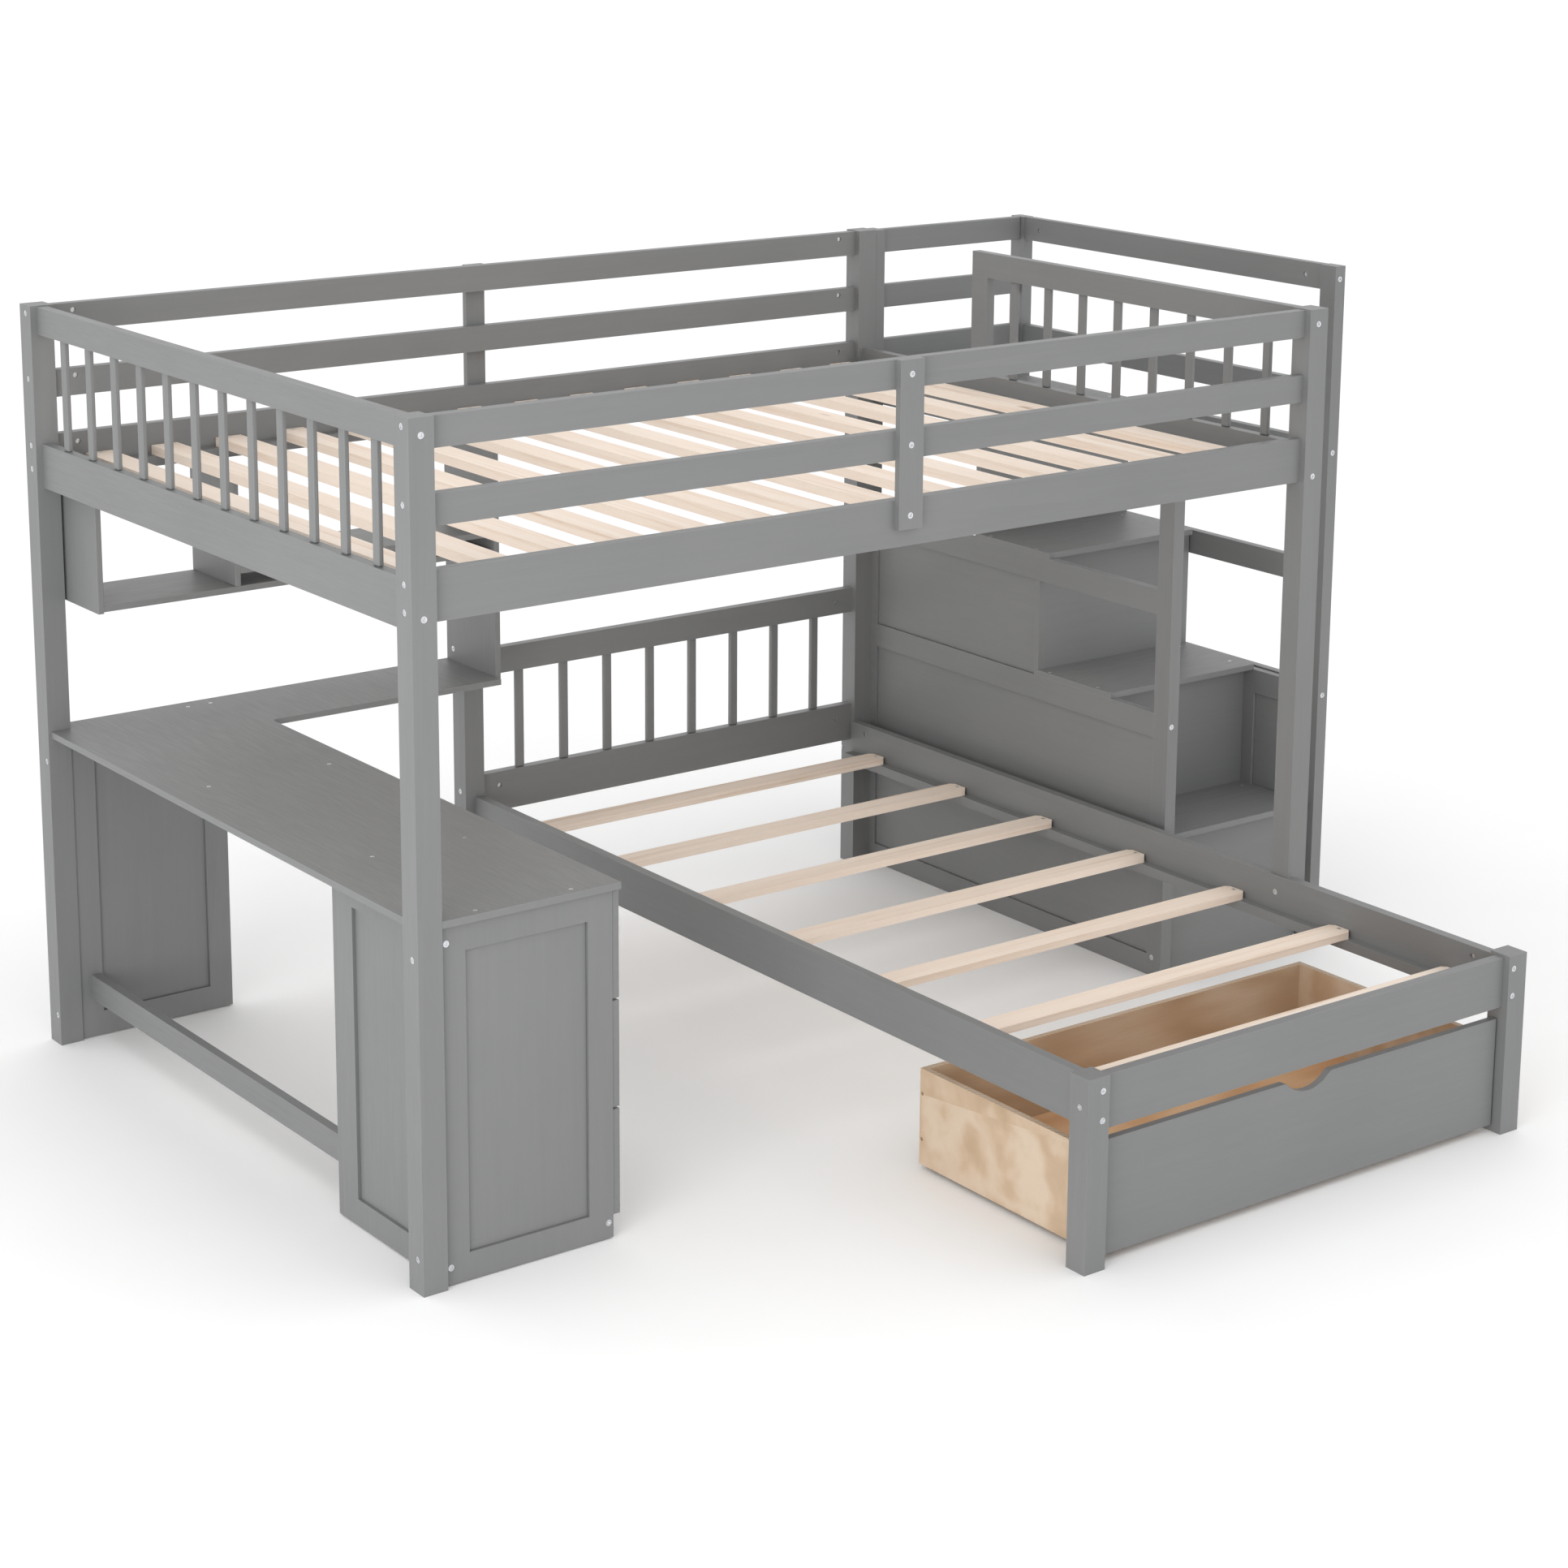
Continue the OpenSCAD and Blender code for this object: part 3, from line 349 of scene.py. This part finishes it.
def floor_surface():
    """A pale, matt studio floor."""
    graph = Graph("floor_surface")
    place = graph.add("ShaderNodeTexCoord").outputs["Object"]
    mottle = graph.noise(place, scale=1.3, detail=3.0)
    grit = graph.noise(place, scale=300.0, detail=2.0)
    color = graph.ramp(mottle, [(0.35, FLOOR_MOTTLE), (0.65, FLOOR)])
    return graph.finish(color, FLOOR_ROUGHNESS, graph.bump(grit, strength=0.05, depth=0.0002))


# Each row is a maker of materials, the way the grain runs, the rounding of edges and the nodes.

POST_ROUND = 0.0030
RAIL_ROUND = 0.0028
BOARD_ROUND = 0.0012
SPINDLE_ROUND = 0.0030
SLAT_ROUND = 0.0020
METAL_ROUND = 0.0004
WHEEL_ROUND = 0.0020

FINISHES = [
    (painted_wood, "z", POST_ROUND, [
        "corner_posts", "front_right_post", "bed_posts", "stair_inner_posts", "stair_outer_posts",
        "guard_battens",
    ]),
    (painted_wood, "z", SPINDLE_ROUND, [
        "left_end_spindles", "entry_end_spindles", "headboard_spindles",
    ]),
    (painted_wood, "x", RAIL_ROUND, [
        "front_rails", "back_rails", "bed_foot_rail", "headboard_rails", "stair_back_rails",
    ]),
    (painted_wood, "y", RAIL_ROUND, [
        "left_end_rails", "entry_end_rails", "bed_side_rails", "stair_outer_rails", "bed_ledgers",
    ]),
    (painted_wood, "x", BOARD_ROUND, [
        "loft_ledgers", "stair_treads", "hutch_shelves", "bed_drawer_front", "pedestal_base",
        "stair_risers",
    ]),
    (painted_wood, "y", BOARD_ROUND, [
        "desktop", "desk_rails", "stair_inner_frame", "stair_outer_frame", "stair_panels",
        "stair_cleats", "top_drawer_front", "middle_drawer_front", "bottom_drawer_front",
    ]),
    (painted_wood, "z", BOARD_ROUND, [
        "support_frame", "support_panel", "pedestal_front_frame", "pedestal_side_frame",
        "pedestal_panels", "pedestal_back", "hutch_left_panel", "hutch_divider", "hutch_right_panel",
    ]),
    (pine, "y", SLAT_ROUND, ["loft_slats"]),
    (pine, "x", SLAT_ROUND, ["bed_slats"]),
    (plywood, "x", BOARD_ROUND, ["bed_drawer_box"]),
    (bounce_tinted_plywood, "x", BOARD_ROUND, ["bed_drawer_bottom"]),
    (plywood, "y", BOARD_ROUND, ["top_drawer_box", "middle_drawer_box", "bottom_drawer_box"]),
    (zinc_plate, None, METAL_ROUND, [
        "bolts", "barrel_nuts", "screws", "caster_brackets", "drawer_runners",
    ]),
    (wheel_rubber, None, WHEEL_ROUND, [
        "caster_wheel_front_left", "caster_wheel_front_right",
        "caster_wheel_back_left", "caster_wheel_back_right",
    ]),
]

WELD_DISTANCE = 0.00002
FLAT_ANGLE = math.radians(1)
SHARP_ANGLE = math.radians(50)
ROUNDING_STEPS = 3


def round_edges(node, width):
    """Joins a node's triangles into whole faces, rounds its sharp edges and evens the shading."""
    weld = node.modifiers.new("weld", "WELD")
    weld.merge_threshold = WELD_DISTANCE
    faces = node.modifiers.new("whole_faces", "DECIMATE")
    faces.decimate_type = "DISSOLVE"
    faces.angle_limit = FLAT_ANGLE
    bevel = node.modifiers.new("rounding", "BEVEL")
    bevel.width = width
    bevel.segments = ROUNDING_STEPS
    bevel.limit_method = "ANGLE"
    bevel.angle_limit = SHARP_ANGLE
    bevel.use_clamp_overlap = True
    node.modifiers.new("even_shading", "WEIGHTED_NORMAL")


def dress(material, node, width):
    """Gives a CAD node its material and its rounded edges."""
    node.data.materials.clear()
    node.data.materials.append(material)
    for slot in node.material_slots:
        slot.material = material
    round_edges(node, width)


def finish_nodes():
    made = {}
    for maker, axis, width, names in FINISHES:
        key = (maker.__name__, axis)
        if key not in made:
            made[key] = maker(axis) if axis else maker()
        for name in names:
            dress(made[key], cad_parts[name], width)


# Light and floor

FLOOR_SIZE = 60.0
WORLD_GLOW = 1.12
WHITE = (1.0, 1.0, 1.0, 1.0)
LIT_POINT = Vector((0.0, 0.0, 0.7))

# Each softbox has its place, the side of its square in metres and its power in watts.
SOFTBOXES = {
    "left_softbox": (Vector((-5.4, -3.2, 1.3)), 3.0, 140.0),
    "front_softbox": (Vector((1.5, -6.6, 1.8)), 4.0, 16.0),
}


def make_floor():
    mesh = bpy.data.meshes.new("floor")
    half = FLOOR_SIZE / 2
    corners = [(-half, -half, 0), (half, -half, 0), (half, half, 0), (-half, half, 0)]
    mesh.from_pydata(corners, [], [(0, 1, 2, 3)])
    floor = bpy.data.objects.new("floor", mesh)
    floor.data.materials.append(floor_surface())
    bpy.context.scene.collection.objects.link(floor)


def make_softbox(name, spot, size, power):
    data = bpy.data.lights.new(name, "AREA")
    data.shape = "SQUARE"
    data.size = size
    data.energy = power
    light = bpy.data.objects.new(name, data)
    light.location = spot
    light.rotation_euler = (LIT_POINT - spot).to_track_quat("-Z", "Y").to_euler()
    bpy.context.scene.collection.objects.link(light)


def make_light():
    """An evenly white room and two large softboxes, one at the left and one in front."""
    world = bpy.data.worlds.new("studio")
    bpy.context.scene.world = world
    world.use_nodes = True
    background = world.node_tree.nodes["Background"]
    background.inputs["Color"].default_value = WHITE
    background.inputs["Strength"].default_value = WORLD_GLOW
    for name, (spot, size, power) in SOFTBOXES.items():
        make_softbox(name, spot, size, power)
    bpy.context.scene.view_settings.view_transform = "Standard"
    bpy.context.scene.view_settings.look = "None"


make_camera()
finish_nodes()
make_floor()
make_light()
